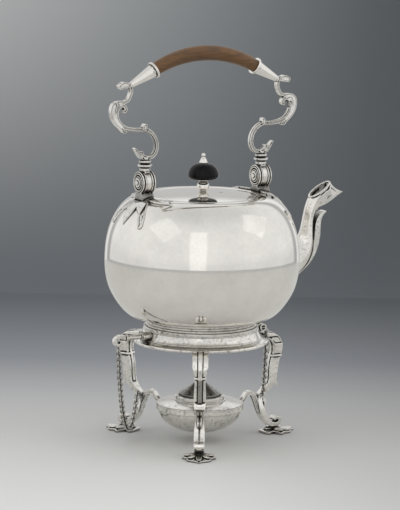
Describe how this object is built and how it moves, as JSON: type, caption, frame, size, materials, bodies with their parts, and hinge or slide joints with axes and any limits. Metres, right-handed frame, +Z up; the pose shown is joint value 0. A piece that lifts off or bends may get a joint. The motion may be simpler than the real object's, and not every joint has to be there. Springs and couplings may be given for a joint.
{
  "type": "tea kettle on lamp stand",
  "caption": "Round-bellied silver tea kettle with a swing handle and swan-neck spout, hinged and pinned to a scroll-legged stand that carries a spirit lamp.",
  "frame": {"origin": "centre of the stand on the table, under the kettle's vertical axis", "axes": "+Z up, +X towards the spout, so the swing handle's grip lies along X"},
  "size_m": [0.2368, 0.17, 0.3482],
  "materials": {
    "polished_silver": "polished",
    "cast_silver": "polished",
    "grip_wood": "satin",
    "knob_ebony": "satin",
    "wick_cotton": "matte"
  },
  "bodies": {
    "stand": {"stand_ring": "polished_silver", "stand_knuckle_front": "cast_silver", "stand_knuckle_back": "cast_silver", "lock_guide": "cast_silver", "leg_spout": "cast_silver", "leg_rear": "cast_silver", "leg_front": "cast_silver", "foot_spout": "cast_silver", "foot_rear": "cast_silver", "foot_front": "cast_silver", "lamp_arm_spout": "cast_silver", "lamp_arm_rear": "cast_silver", "lamp_arm_front": "cast_silver", "lamp_cradle": "polished_silver", "chain_staple_spout": "cast_silver", "chain_staple_rear": "cast_silver", "hinge_chain": "cast_silver", "lock_chain": "cast_silver"},
    "kettle": {"kettle_shell_lower": "polished_silver", "kettle_shell_upper": "polished_silver", "kettle_foot": "polished_silver", "kettle_rim": "polished_silver", "spout": "cast_silver", "kettle_hinge_lug": "cast_silver", "kettle_catch": "cast_silver", "shoulder_bracket_left": "cast_silver", "shoulder_bracket_right": "cast_silver", "handle_pin_left": "cast_silver", "handle_pin_right": "cast_silver"},
    "handle": {"handle_arm_left": "cast_silver", "handle_arm_right": "cast_silver", "ferrule_left": "polished_silver", "ferrule_right": "polished_silver", "ferrule_pin_left": "cast_silver", "ferrule_pin_right": "cast_silver", "grip": "grip_wood"},
    "lid": {"lid_plate": "polished_silver", "lid_skirt": "polished_silver", "knob_stem": "polished_silver", "knob_nut": "cast_silver", "knob_wood": "knob_ebony", "knob_washer": "polished_silver", "knob_finial": "polished_silver"},
    "lock_pin": {"lock_pin": "cast_silver"},
    "hinge_pin": {"hinge_pin": "cast_silver"},
    "lamp": {"lamp_bowl": "polished_silver", "lamp_cover": "polished_silver", "wick_tube": "polished_silver", "wick": "wick_cotton"},
    "lamp_cap": {"lamp_cap": "polished_silver", "lamp_cap_knob": "polished_silver"}
  },
  "joints": [
    {"name": "kettle_tilt", "type": "hinge", "parent": "stand", "child": "kettle", "pos_m": [0.057, 0, 0.098], "axis": [0, 1, 0], "range_deg": [0, 38]},
    {"name": "handle_swing", "type": "hinge", "parent": "kettle", "child": "handle", "pos_m": [0, 0, 0.232], "axis": [1, 0, 0], "range_deg": [-85, 85]},
    {"name": "lid_lift", "type": "slide", "parent": "kettle", "child": "lid", "axis": [0, 0, 1], "range_m": [0, 0.03]},
    {"name": "lock_pin_draw", "type": "slide", "parent": "stand", "child": "lock_pin", "axis": [-1, 0, 0], "range_m": [0, 0.03], "deforming": ["lock_chain"]},
    {"name": "hinge_pin_draw", "type": "slide", "parent": "stand", "child": "hinge_pin", "axis": [0, -1, 0], "range_m": [0, 0.03], "deforming": ["hinge_chain"]},
    {"name": "lamp_lift", "type": "slide", "parent": "stand", "child": "lamp", "axis": [0, 0, 1], "range_m": [0, 0.03]},
    {"name": "lamp_cap_lift", "type": "slide", "parent": "lamp", "child": "lamp_cap", "axis": [0, 0, 1], "range_m": [0, 0.015]}
  ]
}
